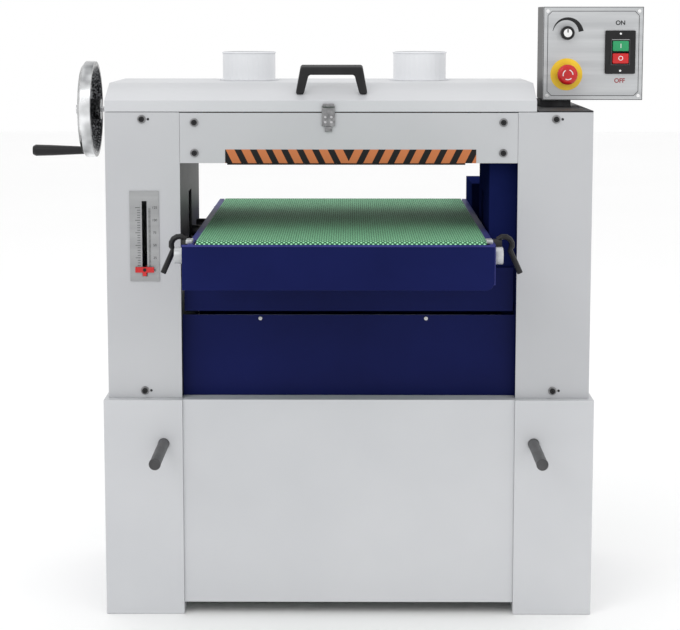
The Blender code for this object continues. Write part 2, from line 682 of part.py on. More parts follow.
def conveyor_outline(grow):
    ends = [circle(y, ROLLER_Z, ROLLER_RADIUS + grow) for y in (-ROLLER_Y, ROLLER_Y)]
    return hull(ends[0] + ends[1])


def pointer():
    width = POINTER_WIDTH / 2
    face = FRONT - POINTER_OUT
    deep = (face - POINTER_THICK, face)
    tall = (POINTER_Z - POINTER_DROP, POINTER_Z + POINTER_RISE)
    plate = block((SCALE_X - width, SCALE_X + width), deep, tall)
    tail_half = POINTER_TAIL_HALF
    tail = block((SCALE_X - tail_half, SCALE_X + tail_half), deep, (POINTER_Z - POINTER_TAIL, POINTER_Z))
    stem_half = SCALE_SLOT / 2 - STEM_CLEAR
    stem = block((SCALE_X - stem_half, SCALE_X + stem_half), (face - STEM_LAP, -ARM_HALF - GAP),
                 (ARM_TOP - STEM_FOOT, POINTER_Z + STEM_FOOT))
    piece("scale_pointer", RED, plate, adds=[tail, stem])


def lift_arm(side, near):
    # The arm lies under the bed's rail and reaches the lifting screw.
    ends = span(side, near - RAIL, SCREW_X + SCREW_RADIUS + ARM_END)
    return block(ends, (-ARM_HALF, ARM_HALF), (ARM_BOTTOM, ARM_TOP))


def screw_hole(side):
    return rod("Z", side * SCREW_X, 0, SCREW_RADIUS + GAP, ARM_BOTTOM - SHEET, ARM_TOP + SHEET)


def lever(name, side, seat):
    # A clamping lever: a hub on the rail's outer side and a hooked arm that hangs down and out.
    hub = rod("X", LEVER_Y, LEVER_Z, LEVER_HUB, *span(side, seat, seat + LEVER_HUB_WIDTH))
    r = LEVER_BEND_RADIUS
    start, end, count = LEVER_ARC
    steps = [math.radians(start + (end - start) * i / count) for i in range(count + 1)]
    bend = [(LEVER_BEND[0] + r * math.cos(a), LEVER_BEND[1] + r * math.sin(a)) for a in steps]
    path = [Vector((side * (seat + u), LEVER_Y, LEVER_Z + w)) for u, w in [LEVER_START, *bend, LEVER_END]]
    origin = (side * seat, LEVER_Y, LEVER_Z)
    piece(f"{name}_table_lever", DARK, hub, adds=[swept(path, LEVER_ROD)], origin=origin)


def lift_drive():
    top = AXLE_Z - GEAR_RADIUS - 2 * GAP
    foot = LOW + SPROCKET_LIFT
    for name, side in (("left", -1), ("right", 1)):
        x = side * SCREW_X
        adds = [rod("Z", x, 0, SPROCKET_RADIUS, foot, foot + SPROCKET_TALL)]
        if side < 0:
            adds.append(rod("Z", x, 0, GEAR_RADIUS + CROWN_OVER, top - GEAR_WIDTH, top))
        screw = rod("Z", x, 0, SCREW_RADIUS, LOW, top)
        piece(f"{name}_lift_screw", STEEL, screw, adds=adds, origin=(x, 0, LOW))
    rise = foot + (SPROCKET_TALL - CHAIN_TALL) / 2
    inner = prism(chain_outline(2 * GAP), "Z", rise - SHEET, rise + CHAIN_TALL + SHEET)
    outer = prism(chain_outline(2 * GAP + CHAIN), "Z", rise, rise + CHAIN_TALL)
    piece("lift_chain", STEEL, outer, cuts=[inner])
    hub_end = WHEEL_OUT - HUB_OUT
    axle = rod("X", 0, AXLE_Z, AXLE_RADIUS, hub_end + RUN_CLEAR, -COLUMN_INNER + AXLE_END)
    pinion_end = -SCREW_X - GEAR_WIDTH
    pinion = rod("X", 0, AXLE_Z, GEAR_RADIUS, pinion_end - GEAR_WIDTH, pinion_end)
    piece("lift_axle", STEEL, axle, adds=[pinion], origin=(0, 0, AXLE_Z))
    hub = ring("X", 0, AXLE_Z, AXLE_RADIUS + GAP, WHEEL_HUB, hub_end, WHEEL_IN + HUB_IN)
    piece("handwheel", STEEL, wheel_rim(), adds=[hub] + wheel_spokes(), origin=(WHEEL_IN, 0, AXLE_Z))
    grip_z = AXLE_Z - GRIP_ARM
    nose, nose_length = GRIP_NOSE
    belly, belly_length = GRIP_BELLY
    profile = [(GRIP_BORE, GRIP_END), (GRIP_RADIUS - nose, GRIP_END), (GRIP_RADIUS, GRIP_END + nose_length),
               (GRIP_RADIUS - belly, GRIP_END + belly_length), (GRIP_RADIUS - GRIP_NECK, GRIP_START),
               (GRIP_BORE, GRIP_START)]
    piece("wheel_grip", DARK, turned("X", 0, grip_z, profile, SHAFT_SIDES), origin=(GRIP_START, 0, grip_z))


def chain_outline(grow):
    ends = [circle(x, 0, SPROCKET_RADIUS + grow) for x in (-SCREW_X, SCREW_X)]
    return hull(ends[0] + ends[1])


def wheel_rim():
    rim_in = WHEEL_RADIUS - WHEEL_RIM
    profile = [(rim_in + RIM_CROWN[0], WHEEL_OUT), (rim_in + RIM_CROWN[1], WHEEL_OUT),
               (WHEEL_RADIUS, WHEEL_OUT + RIM_SHOULDER), (WHEEL_RADIUS, WHEEL_IN),
               (WHEEL_RADIUS - RIM_WALL, WHEEL_IN), (rim_in, WHEEL_OUT + RIM_WEB), (rim_in, WHEEL_OUT)]
    return turned("X", 0, AXLE_Z, profile, RIM_SIDES)


def wheel_spokes():
    spokes = []
    reach = (WHEEL_HUB - SPOKE_LAP, WHEEL_RADIUS - WHEEL_RIM + SPOKE_LAP)
    for i in range(SPOKES):
        place = Matrix.Translation((0, 0, AXLE_Z)) @ Matrix.Rotation(math.pi * (0.5 + 2 * i / SPOKES), 4, "X")
        points, faces = block((WHEEL_OUT + SPOKE_NEAR, WHEEL_OUT + RIM_WEB), reach, (-SPOKE_HALF, SPOKE_HALF))
        spokes.append(([place @ p for p in points], faces))
    return spokes


def scale():
    half = SCALE_WIDTH / 2
    back = FRONT - GAP
    plate = block((SCALE_X - half, SCALE_X + half), (back - SCALE_THICK, back),
                  (SCALE_BOTTOM, SCALE_BOTTOM + SCALE_HEIGHT))
    piece("scale_plate", STEEL, plate, cuts=[scale_slot(FRONT - 2 * SHEET, FRONT + SHEET)])


def control():
    wide = (BOX_LEFT, BOX_LEFT + BOX_WIDTH)
    tall = (BOX_BOTTOM, BOX_BOTTOM + BOX_HEIGHT)
    rear = BOX_FRONT + BOX_DEPTH
    near = BOX_LEFT - BRACKET_OVER
    bracket = block((near, near + BRACKET_WIDTH), (BOX_FRONT + BRACKET_BACK, rear - BRACKET_BACK),
                    (COLUMN_TOP + SHEET + 2 * GAP, BOX_BOTTOM - GAP))
    piece("box_bracket", DARK, bracket)
    back = BOX_FRONT + SHEET + GAP
    hollow = block((wide[0] + SHEET, wide[1] - SHEET), (back - SHEET, rear - SHEET),
                   (tall[0] + SHEET, tall[1] - SHEET))
    piece("control_box", PAINT, block(wide, (back, rear), tall), cuts=[hollow])
    through = (BOX_FRONT - SHEET, BOX_FRONT + 2 * SHEET)
    cuts = [rod("Y", KNOB_Z, DIAL_X, KNOB_STEM + GAP, *through, SHAFT_SIDES),
            rod("Y", STOP_Z, DIAL_X, STOP_STEM + GAP, *through, SHAFT_SIDES)]
    buttons = (("start_button", LEAF, SWITCH_Z + BUTTON_PITCH / 2),
               ("stop_button", RED, SWITCH_Z - BUTTON_PITCH / 2))
    wells = [button_block(z, GAP, BOX_FRONT - 2 * BUTTON_OUT, BOX_FRONT + 2 * SHEET) for _, _, z in buttons]
    piece("control_panel", STEEL, block(wide, (BOX_FRONT, BOX_FRONT + SHEET), tall), cuts=cuts + wells)
    w, h = SWITCH_SIZE[0] / 2, SWITCH_SIZE[1] / 2
    seat = BOX_FRONT - GAP
    plate = block((SWITCH_X - w, SWITCH_X + w), (seat - SWITCH_THICK, seat), (SWITCH_Z - h, SWITCH_Z + h))
    piece("switch_plate", DARK, plate, cuts=wells)
    for name, finish, z in buttons:
        key = button_block(z, 0, BOX_FRONT - BUTTON_OUT, BOX_FRONT + SHEET)
        piece(name, finish, key, origin=(SWITCH_X, BOX_FRONT, z))
    dials()


def button_block(z, grow, near, far):
    w = BUTTON_SIZE[0] / 2 + grow
    h = BUTTON_SIZE[1] / 2 + grow
    return block((SWITCH_X - w, SWITCH_X + w), (near, far), (z - h, z + h))


def dials():
    seat = BOX_FRONT - GAP
    knob = rod("Y", KNOB_Z, DIAL_X, KNOB_RADIUS, seat - KNOB_DEPTH, seat)
    spindle = rod("Y", KNOB_Z, DIAL_X, KNOB_STEM, seat - SHEET, BOX_FRONT + KNOB_STEM_IN, SHAFT_SIDES)
    piece("speed_knob", DARK, knob, adds=[spindle], origin=(DIAL_X, BOX_FRONT, KNOB_Z))
    cap = BOX_FRONT - STOP_STAND
    crown, crown_out = STOP_CROWN
    profile = [(STOP_CORE, cap), (STOP_CORE, cap - STOP_DEPTH), (STOP_RADIUS - crown, cap - crown_out),
               (STOP_RADIUS, cap - STOP_SIDE[0]), (STOP_RADIUS, cap - STOP_SIDE[1]),
               (STOP_RADIUS - STOP_UNDER, cap)]
    mushroom = turned("Y", STOP_Z, DIAL_X, profile)
    shank = rod("Y", STOP_Z, DIAL_X, STOP_STEM, cap - STOP_STEM_LAP, BOX_FRONT + STOP_STEM_IN, SHAFT_SIDES)
    piece("stop_mushroom", RED, mushroom, adds=[shank], origin=(DIAL_X, BOX_FRONT, STOP_Z))


base()
columns()
hood()
drums()
drive()
table()
pointer()
lift_drive()
scale()
control()
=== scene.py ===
import json
import math
import bpy
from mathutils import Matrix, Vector


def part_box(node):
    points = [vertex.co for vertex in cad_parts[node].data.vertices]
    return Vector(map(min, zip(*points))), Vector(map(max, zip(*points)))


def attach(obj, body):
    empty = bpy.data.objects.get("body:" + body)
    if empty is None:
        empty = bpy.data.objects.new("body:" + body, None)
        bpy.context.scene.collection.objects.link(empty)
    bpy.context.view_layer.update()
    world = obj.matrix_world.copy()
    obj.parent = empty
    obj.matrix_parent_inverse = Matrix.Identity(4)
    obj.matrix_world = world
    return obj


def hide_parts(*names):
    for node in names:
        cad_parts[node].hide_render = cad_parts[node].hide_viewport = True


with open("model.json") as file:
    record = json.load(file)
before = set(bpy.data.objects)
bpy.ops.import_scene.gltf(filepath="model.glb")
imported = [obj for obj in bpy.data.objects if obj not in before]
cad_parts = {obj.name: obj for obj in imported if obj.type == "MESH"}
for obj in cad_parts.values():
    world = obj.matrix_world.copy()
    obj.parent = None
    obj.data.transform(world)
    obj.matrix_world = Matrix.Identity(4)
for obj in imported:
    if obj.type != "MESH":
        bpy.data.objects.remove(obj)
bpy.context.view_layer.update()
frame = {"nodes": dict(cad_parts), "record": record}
record = frame["record"]
bodyOf = {node: body for body, nodes in record["behaviour"]["bodies"].items() for node in nodes}
slotOf = {part["node"]: part["material_slot"] for part in record["subparts"]}
pinOf = {joint["name"]: joint["pos_m"] for joint in record["behaviour"]["joints"] if "pos_m" in joint}
print("frame loaded:", len(frame["nodes"]), "nodes")


# tools of the bench
smoothBelow = math.radians(35)  # faces that meet at less than this are shaded as one
breakAbove = math.radians(40)  # edges sharper than this are broken
flatWithin = math.radians(1)
weldWithin = 0.00001
upward = 0.99  # a face looks up when this much of its normal does
facingFront = (math.pi / 2, 0, 0)  # turns for a piece that is made looking up
facingBack = (-math.pi / 2, 0, 0)
facingLeft = (0, -math.pi / 2, 0)
facingRight = (0, math.pi / 2, 0)


def fresh():
    bpy.ops.object.select_all(action="DESELECT")


def pickOnly(obj):
    fresh()
    obj.select_set(True)
    bpy.context.view_layer.objects.active = obj


def applyModifier(obj, kind, **settings):
    pickOnly(obj)
    modifier = obj.modifiers.new(kind.lower(), kind)
    for key, value in settings.items():
        setattr(modifier, key, value)
    bpy.ops.object.modifier_apply(modifier=modifier.name)


def repeatAlong(obj, count, step):
    applyModifier(obj, "ARRAY", count=count, use_relative_offset=False, use_constant_offset=True,
                  constant_offset_displace=step)


def selectFaces(obj, test):
    # leaves edit mode on, in face mode, with the faces that pass the test selected
    pickOnly(obj)
    bpy.ops.object.mode_set(mode="EDIT")
    bpy.ops.mesh.select_mode(type="FACE")
    bpy.ops.mesh.select_all(action="DESELECT")
    bpy.ops.object.mode_set(mode="OBJECT")
    for face in obj.data.polygons:
        face.select = test(face)
    bpy.ops.object.mode_set(mode="EDIT")


def leaveEdit():
    bpy.ops.object.mode_set(mode="OBJECT")


def paintOn(obj, finish):
    obj.data.materials.clear()
    obj.data.materials.append(finish)


def settle(obj, name, body, finish=None):
    # place goes into the mesh, then the piece rides on its body
    pickOnly(obj)
    bpy.ops.object.transform_apply(location=True, rotation=True, scale=True)
    obj.name = name
    obj.data.name = name
    if finish:
        paintOn(obj, finish)
    bpy.ops.object.shade_smooth_by_angle(angle=smoothBelow)
    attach(obj, body)
    return obj


def copyTo(master, name, place, body):
    twin = master.copy()
    twin.data = master.data.copy()
    bpy.context.collection.objects.link(twin)
    twin.location = place
    return settle(twin, name, body)


def discard(obj):
    bpy.data.objects.remove(obj, do_unlink=True)


def joinInto(main, *others):
    pickOnly(main)
    for obj in others:
        obj.select_set(True)
    bpy.ops.object.join()
    return main


def bevelledBlock(low, high, soften):
    fresh()
    low, high = Vector(low), Vector(high)
    bpy.ops.mesh.primitive_cube_add(size=1, location=(low + high) / 2)
    obj = bpy.context.object
    obj.scale = high - low
    bpy.ops.object.transform_apply(location=True, rotation=True, scale=True)
    applyModifier(obj, "BEVEL", width=soften, segments=2, limit_method="ANGLE")
    return obj


def turnedHead(radius, depth, soften, sides=32, turn=facingFront, place=(0, 0, 0), steps=2):
    # a round head that stands on the plane through its place
    fresh()
    bpy.ops.mesh.primitive_cylinder_add(vertices=sides, radius=radius, depth=depth,
                                        location=(0, 0, depth / 2))
    obj = bpy.context.object
    bpy.ops.object.transform_apply(location=True, rotation=True, scale=True)
    applyModifier(obj, "BEVEL", width=soften, segments=steps, limit_method="ANGLE")
    obj.rotation_euler = turn
    obj.location = place
    return obj


def sinkTop(obj, margin, wall, depth):
    # a recess in the flat top of a head
    selectFaces(obj, lambda face: face.normal.z > upward)
    bpy.ops.mesh.inset(thickness=margin)
    bpy.ops.mesh.inset(thickness=wall, depth=-depth)
    leaveEdit()


def flatRing(outer, inner, thick, place, sides=64, arcs=None):
    # a washer, or as many arcs as asked for, each filling a share of its part of the round
    fresh()
    bpy.ops.mesh.primitive_circle_add(vertices=sides, radius=outer, fill_type="NGON")
    obj = bpy.context.object
    selectFaces(obj, lambda face: True)
    bpy.ops.mesh.inset(thickness=outer - inner)
    bpy.ops.mesh.delete(type="FACE")
    leaveEdit()
    if arcs:
        count, share = arcs

        def inGap(face):
            return math.atan2(face.center.y, face.center.x) / math.tau * count % 1 > share

        selectFaces(obj, inGap)
        bpy.ops.mesh.delete(type="FACE")
        leaveEdit()
    applyModifier(obj, "SOLIDIFY", thickness=thick, offset=1)
    obj.rotation_euler = facingFront
    obj.location = place
    return obj


def letters(words, size, thick, place, bold=0):
    fresh()
    bpy.ops.object.text_add(location=place, rotation=facingFront)
    obj = bpy.context.object
    obj.data.body = words
    obj.data.size = size
    obj.data.extrude = thick / 2
    obj.data.offset = bold
    obj.data.align_x = "CENTER"
    obj.data.align_y = "CENTER"
    bpy.ops.object.convert(target="MESH")
    return bpy.context.object


def softenNode(node, width, finish=None, mergeFlats=True):
    # a merged copy of a frame piece with its edges broken, in the place of the plain one
    fresh()
    obj = bpy.data.objects.new(f"{node}_soft", frame["nodes"][node].data.copy())
    bpy.context.collection.objects.link(obj)
    pickOnly(obj)
    bpy.ops.object.mode_set(mode="EDIT")
    bpy.ops.mesh.select_all(action="SELECT")
    bpy.ops.mesh.remove_doubles(threshold=weldWithin)
    if mergeFlats:
        bpy.ops.mesh.dissolve_limited(angle_limit=flatWithin)
    leaveEdit()
    applyModifier(obj, "BEVEL", width=width, segments=3, limit_method="ANGLE", angle_limit=breakAbove)
    settle(obj, f"{node}_soft", bodyOf[node], finish or finishes[slotOf[node]])
    applyModifier(obj, "WEIGHTED_NORMAL", keep_sharp=True)  # flat faces stay flat in the light
    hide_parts(node)


def middle(low, high):
    return (low + high) / 2


# finishes: the shader's parts
def startFinish(name, metallic=0, coat=0, shine=0.5):
    material = bpy.data.materials.new(name)
    material.use_nodes = True
    nodes, links = material.node_tree.nodes, material.node_tree.links
    shader = nodes["Principled BSDF"]
    shader.inputs["Metallic"].default_value = metallic
    shader.inputs["Coat Weight"].default_value = coat
    shader.inputs["Specular IOR Level"].default_value = shine
    coords = nodes.new("ShaderNodeTexCoord").outputs["Object"]
    return material, nodes, links, shader, coords


def splitPlace(nodes, links, coords):
    split = nodes.new("ShaderNodeSeparateXYZ")
    links.new(coords, split.inputs["Vector"])
    return split.outputs["X"], split.outputs["Y"], split.outputs["Z"]


def noiseOn(nodes, links, place, scale, detail=2):
    noise = nodes.new("ShaderNodeTexNoise")
    noise.inputs["Scale"].default_value = scale
    noise.inputs["Detail"].default_value = detail
    links.new(place, noise.inputs["Vector"])
    return noise.outputs["Fac"]


def twoTone(nodes, links, source, dark, light, spread):
    ramp = nodes.new("ShaderNodeValToRGB")
    for element, position, tone in zip(ramp.color_ramp.elements, spread, (dark, light)):
        element.position = position
        element.color = (*tone, 1)
    links.new(source, ramp.inputs["Fac"])
    return ramp.outputs["Color"]


def addBump(nodes, links, shader, height, strength, depth):
    bump = nodes.new("ShaderNodeBump")
    bump.inputs["Strength"].default_value = strength
    bump.inputs["Distance"].default_value = depth
    links.new(height, bump.inputs["Height"])
    links.new(bump.outputs["Normal"], shader.inputs["Normal"])


def reckoner(nodes, links):
    # sums in the shader, on numbers and on sockets alike
    def reckon(operation, first, second=0):
        node = nodes.new("ShaderNodeMath")
        node.operation = operation
        for socket, value in zip(node.inputs, (first, second)):
            if isinstance(value, (int, float)):
                socket.default_value = value
            else:
                links.new(value, socket)
        return node.outputs["Value"]

    return reckon


# painted, moulded and plain metal finishes
grainBase = dict(cloudDetail=4, grainDetail=3, cloudSpread=(0.3, 0.7), bumpDepth=0.0004)


def grainFinish(name, look):
    # cloudy colour at one scale, gloss and a fine bump at another
    material, nodes, links, shader, coords = startFinish(name, look["metallic"], look.get("coat", 0),
                                                         look.get("shine", 0.5))
    place = nodes.new("ShaderNodeMapping")
    place.inputs["Scale"].default_value = look.get("stretch", (1, 1, 1))
    links.new(coords, place.inputs["Vector"])
    clouds = noiseOn(nodes, links, place.outputs["Vector"], look["clouds"], grainBase["cloudDetail"])
    grain = noiseOn(nodes, links, place.outputs["Vector"], look["grain"], grainBase["grainDetail"])
    tone = twoTone(nodes, links, clouds, look["dark"], look["light"], grainBase["cloudSpread"])
    links.new(tone, shader.inputs["Base Color"])
    gloss = nodes.new("ShaderNodeMapRange")
    gloss.inputs["To Min"].default_value = look["rough"][0]
    gloss.inputs["To Max"].default_value = look["rough"][1]
    links.new(grain, gloss.inputs["Value"])
    links.new(gloss.outputs["Result"], shader.inputs["Roughness"])
    addBump(nodes, links, shader, grain, look["bump"], grainBase["bumpDepth"])
    return material


looks = {
    "grey_paint": dict(dark=(0.520, 0.530, 0.550), light=(0.575, 0.583, 0.600), clouds=2.5, grain=900,
                       rough=(0.34, 0.46), metallic=0, bump=0.08, shine=0.4),
    "navy_paint": dict(dark=(0.0030, 0.0060, 0.056), light=(0.0050, 0.0090, 0.076), clouds=4, grain=800,
                       rough=(0.34, 0.46), metallic=0, bump=0.08, shine=0.08),
    "bed_casting": dict(dark=(0.022, 0.026, 0.12), light=(0.05, 0.055, 0.22), clouds=9, grain=500,
                        rough=(0.35, 0.5), metallic=0, bump=0.15, shine=0.04),
    "dark_paint": dict(dark=(0.020, 0.020, 0.022), light=(0.040, 0.040, 0.043), clouds=60, grain=700,
                       rough=(0.4, 0.55), metallic=0, bump=0.1, stretch=(1, 1, 0.06), shine=0.2),
    "black_plastic": dict(dark=(0.006, 0.006, 0.007), light=(0.013, 0.013, 0.014), clouds=20, grain=1200,
                          rough=(0.28, 0.42), metallic=0, bump=0.12, shine=0.3),
    "steel": dict(dark=(0.34, 0.34, 0.35), light=(0.60, 0.60, 0.61), clouds=40, grain=400,
                  rough=(0.18, 0.34), metallic=1, bump=0.05, stretch=(0.15, 1, 1)),
    # painted reflections: the polished rim's colour runs in clouds from near black to near white, for
    # the dark and bright things the chrome mirrors
    "polished_rim": dict(dark=(0.15, 0.155, 0.16), light=(0.84, 0.85, 0.86), clouds=18, grain=300,
                         rough=(0.10, 0.26), metallic=1, bump=0.06, stretch=(0.35, 1, 1)),
    "aluminium_plate": dict(dark=(0.44, 0.45, 0.46), light=(0.56, 0.57, 0.58), clouds=60, grain=900,
                            rough=(0.35, 0.5), metallic=0.6, bump=0.05, stretch=(0.05, 1, 1)),
    "drive_rubber": dict(dark=(0.006, 0.006, 0.006), light=(0.014, 0.014, 0.014), clouds=40, grain=900,
                         rough=(0.6, 0.75), metallic=0, bump=0.2, shine=0.3),
    "abrasive": dict(dark=(0.16, 0.06, 0.025), light=(0.30, 0.13, 0.06), clouds=600, grain=1800,
                     rough=(0.85, 0.98), metallic=0, bump=0.8),
    "red_plastic": dict(dark=(0.48, 0.008, 0.010), light=(0.60, 0.016, 0.016), clouds=25, grain=600,
                        rough=(0.2, 0.3), metallic=0, bump=0.03, coat=0.3, shine=0.3),
    "green_plastic": dict(dark=(0.012, 0.27, 0.10), light=(0.025, 0.36, 0.14), clouds=25, grain=600,
                          rough=(0.25, 0.35), metallic=0, bump=0.03, coat=0.3, shine=0.3),
}
finishes = {slotName: grainFinish(slotName, look) for slotName, look in looks.items()}
yellowDisc = grainFinish("yellow_disc", dict(
    dark=(0.80, 0.52, 0.01), light=(0.90, 0.62, 0.02), clouds=40, grain=700, rough=(0.35, 0.45),
    metallic=0, bump=0.03))
portPaint = grainFinish("port_paint", dict(
    looks["grey_paint"], dark=(0.72, 0.73, 0.75), light=(0.79, 0.80, 0.82)))
# a navy without gloss, slightly lighter than the navy paint; the lighter colour is painted light, for
# the light that falls on the side faces of the guard, the inner wall and the gearbox
litNavyPaint = grainFinish("lit_navy_paint", dict(
    looks["navy_paint"], shine=0, dark=(0.0065, 0.0105, 0.060), light=(0.0100, 0.0150, 0.082)))
# painted shade: the columns, their covers and the beams take a grey a shade darker than the hood and
# base, for the shade they stand in
shadedFramePaint = grainFinish("painted_shade_frame", dict(
    looks["grey_paint"], dark=(0.455, 0.463, 0.480), light=(0.505, 0.512, 0.528)))
zincPlate = grainFinish("zinc_plate", dict(
    dark=(0.16, 0.16, 0.165), light=(0.30, 0.30, 0.305), clouds=120, grain=500, rough=(0.28, 0.42),
    metallic=0.8, bump=0.05))
scaleMetal = grainFinish("scale_metal", dict(
    looks["aluminium_plate"], dark=(0.30, 0.305, 0.31), light=(0.38, 0.385, 0.39)))
barPaint = grainFinish("bar_paint", dict(
    dark=(0.045, 0.045, 0.047), light=(0.075, 0.075, 0.078), clouds=30, grain=900, rough=(0.35, 0.5),
    metallic=0, bump=0.1, shine=0.35))
boxPaint = grainFinish("box_paint", dict(
    dark=(0.012, 0.012, 0.013), light=(0.022, 0.022, 0.024), clouds=6, grain=900, rough=(0.35, 0.48),
    metallic=0, bump=0.08, shine=0.3))
darkRed = grainFinish("dark_red", dict(
    dark=(0.22, 0.010, 0.014), light=(0.30, 0.016, 0.020), clouds=40, grain=700, rough=(0.4, 0.5),
    metallic=0, bump=0.03))
whiteMark = grainFinish("white_mark", dict(
    dark=(0.78, 0.78, 0.78), light=(0.86, 0.86, 0.86), clouds=50, grain=700, rough=(0.4, 0.5),
    metallic=0, bump=0.03))


# abrasive on the drums
spiral = dict(pitch=0.075, seam=0.035, seamTone=(0.03, 0.014, 0.008), grit=900, spread=(0.05, 0.65),
              shine=0.2, rough=0.9, bump=0.6, bumpDepth=0.0005)


def wound(name, axisY, axisZ):
    # abrasive strip wound round a drum, with the seam of the strip as a dark line
    material, nodes, links, shader, coords = startFinish(name, shine=spiral["shine"])
    x, y, z = splitPlace(nodes, links, coords)
    reckon = reckoner(nodes, links)
    angle = reckon("ARCTAN2", reckon("SUBTRACT", z, axisZ), reckon("SUBTRACT", y, axisY))
    along = reckon("ADD", reckon("DIVIDE", x, spiral["pitch"]), reckon("DIVIDE", angle, math.tau))
    seam = reckon("GREATER_THAN", reckon("FRACT", along), spiral["seam"])
    shade = reckon("MULTIPLY", seam, noiseOn(nodes, links, coords, spiral["grit"]))
    tone = twoTone(nodes, links, shade, spiral["seamTone"], looks["abrasive"]["light"], spiral["spread"])
    links.new(tone, shader.inputs["Base Color"])
    shader.inputs["Roughness"].default_value = spiral["rough"]
    addBump(nodes, links, shader, shade, spiral["bump"], spiral["bumpDepth"])
    return material


# metal of the handwheel, with painted reflections
wheelReflectionTones = dict(rimEdge=0.0985, webBack=0.0190, speckle=260, dark=(0.012, 0.012, 0.013),
                 light=(0.42, 0.42, 0.43), spread=(0.45, 0.72), rough=0.2)


def wheelPaintedReflections(name, pin):
    # a wheel polished on its rim, dark and speckled on its inner side; the dark there is painted
    # reflection, for the dark the polished metal mirrors
    material, nodes, links, shader, coords = startFinish(name, metallic=1)
    x, y, z = splitPlace(nodes, links, coords)
    reckon = reckoner(nodes, links)
    aside = reckon("SUBTRACT", y, pin[1])
    above = reckon("SUBTRACT", z, pin[2])
    squares = reckon("ADD", reckon("MULTIPLY", aside, aside), reckon("MULTIPLY", above, above))
    away = reckon("SQRT", squares)
    inside = reckon("MULTIPLY", reckon("LESS_THAN", away, wheelReflectionTones["rimEdge"]),
                    reckon("GREATER_THAN", x, pin[0] - wheelReflectionTones["webBack"]))
    # the rim takes the painted reflections of the polished_rim look
    rimLook = looks["polished_rim"]
    rimTone = twoTone(nodes, links, noiseOn(nodes, links, coords, rimLook["clouds"]),
                      rimLook["dark"], rimLook["light"], grainBase["cloudSpread"])
    innerTone = twoTone(nodes, links, noiseOn(nodes, links, coords, wheelReflectionTones["speckle"]),
                        wheelReflectionTones["dark"], wheelReflectionTones["light"], wheelReflectionTones["spread"])
    blend = nodes.new("ShaderNodeMixRGB")
    links.new(inside, blend.inputs["Fac"])
    links.new(rimTone, blend.inputs["Color1"])
    links.new(innerTone, blend.inputs["Color2"])
    links.new(blend.outputs["Color"], shader.inputs["Base Color"])
    shader.inputs["Roughness"].default_value = wheelReflectionTones["rough"]
    return material


# rough top of the belt
weave = dict(pitch=0.0064, turn=math.radians(45), wobble=0.6, wobbleScale=3, dark=(0.014, 0.100, 0.040),
             light=(0.40, 0.84, 0.52), fade=(0.09, 0.60), shine=0.2, rough=0.75, bump=0.7,
             bumpDepth=0.0012)
waveLength = math.pi / 10  # of the wave texture at a scale of one


def woven(name):
    # small raised diamonds in staggered rows; the colour follows the height, with painted shade in the
    # hollows and painted highlights on the pale tips
    material, nodes, links, shader, coords = startFinish(name, shine=weave["shine"])
    turned = nodes.new("ShaderNodeMapping")
    turned.inputs["Rotation"].default_value = (0, 0, weave["turn"])
    links.new(coords, turned.inputs["Vector"])
    bands = []
    for direction in ("X", "Y"):
        wave = nodes.new("ShaderNodeTexWave")
        wave.bands_direction = direction
        wave.inputs["Scale"].default_value = waveLength / weave["pitch"]
        wave.inputs["Distortion"].default_value = weave["wobble"]
        wave.inputs["Detail Scale"].default_value = weave["wobbleScale"]
        links.new(turned.outputs["Vector"], wave.inputs["Vector"])
        bands.append(wave.outputs["Fac"])
    raised = reckoner(nodes, links)("MULTIPLY", *bands)
    # painted shade and highlight: dark in the hollows, pale on the raised tips
    tone = twoTone(nodes, links, raised, weave["dark"], weave["light"], weave["fade"])
    links.new(tone, shader.inputs["Base Color"])
    shader.inputs["Roughness"].default_value = weave["rough"]
    addBump(nodes, links, shader, raised, weave["bump"], weave["bumpDepth"])
    return material


finishes["belt_green"] = woven("belt_green")


# finishes go on the frame, first by slot and then where a piece has its own
for node, slotName in slotOf.items():
    paintOn(frame["nodes"][node], finishes[slotName])
ownFinish = dict(left_dust_port=portPaint, right_dust_port=portPaint, scale_plate=scaleMetal,
                 control_box=boxPaint, left_lifting_bar=barPaint, right_lifting_bar=barPaint,
                 hood_latch=zincPlate, hood_hinge=zincPlate, left_column=shadedFramePaint,
                 right_column=shadedFramePaint, left_column_cover=shadedFramePaint, right_column_cover=shadedFramePaint,
                 front_beam=shadedFramePaint, rear_beam=shadedFramePaint, right_inner_guard=litNavyPaint,
                 right_inner_wall=litNavyPaint, feed_gearbox=litNavyPaint,
                 handwheel=wheelPaintedReflections("wheel_painted_reflection", pinOf["handwheel_turn"]))
for drum in ("front_drum", "rear_drum"):
    centre = middle(*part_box(drum))
    ownFinish[drum] = wound(f"{drum}_paper", centre.y, centre.z)
for node, finish in ownFinish.items():
    paintOn(frame["nodes"][node], finish)
print("finishes on the frame")


# edges broken as on bent sheet and moulded parts
softEdges = dict(hood_handle=0.0040, left_pod=0.0026, right_pod=0.0026, hood=0.0010, front_apron=0.0012,
                 front_beam=0.0010, switch_plate=0.0026, start_button=0.0022, stop_button=0.0022,
                 speed_knob=0.0018, control_box=0.0030, handwheel=0.0014, left_lifting_bar=0.0020,
                 right_lifting_bar=0.0020, scale_pointer=0.0008, hood_latch=0.0008, feed_gearbox=0.0030,
                 right_column_cap=0.0010)
# merging flats would fill the holes of these
pierced = ("switch_plate", "front_beam", "scale_pointer", "hood_latch")
for node, width in softEdges.items():
    softenNode(node, width, finish=ownFinish.get(node), mergeFlats=node not in pierced)
print("edges softened on", len(softEdges), "pieces")

# where things are on the frame
beamLow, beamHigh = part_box("front_beam")
coverLow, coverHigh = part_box("left_column_cover")
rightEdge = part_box("right_column_cover")[1].x
frontFace = coverLow.y
middleX = middle(coverLow.x, rightEdge)


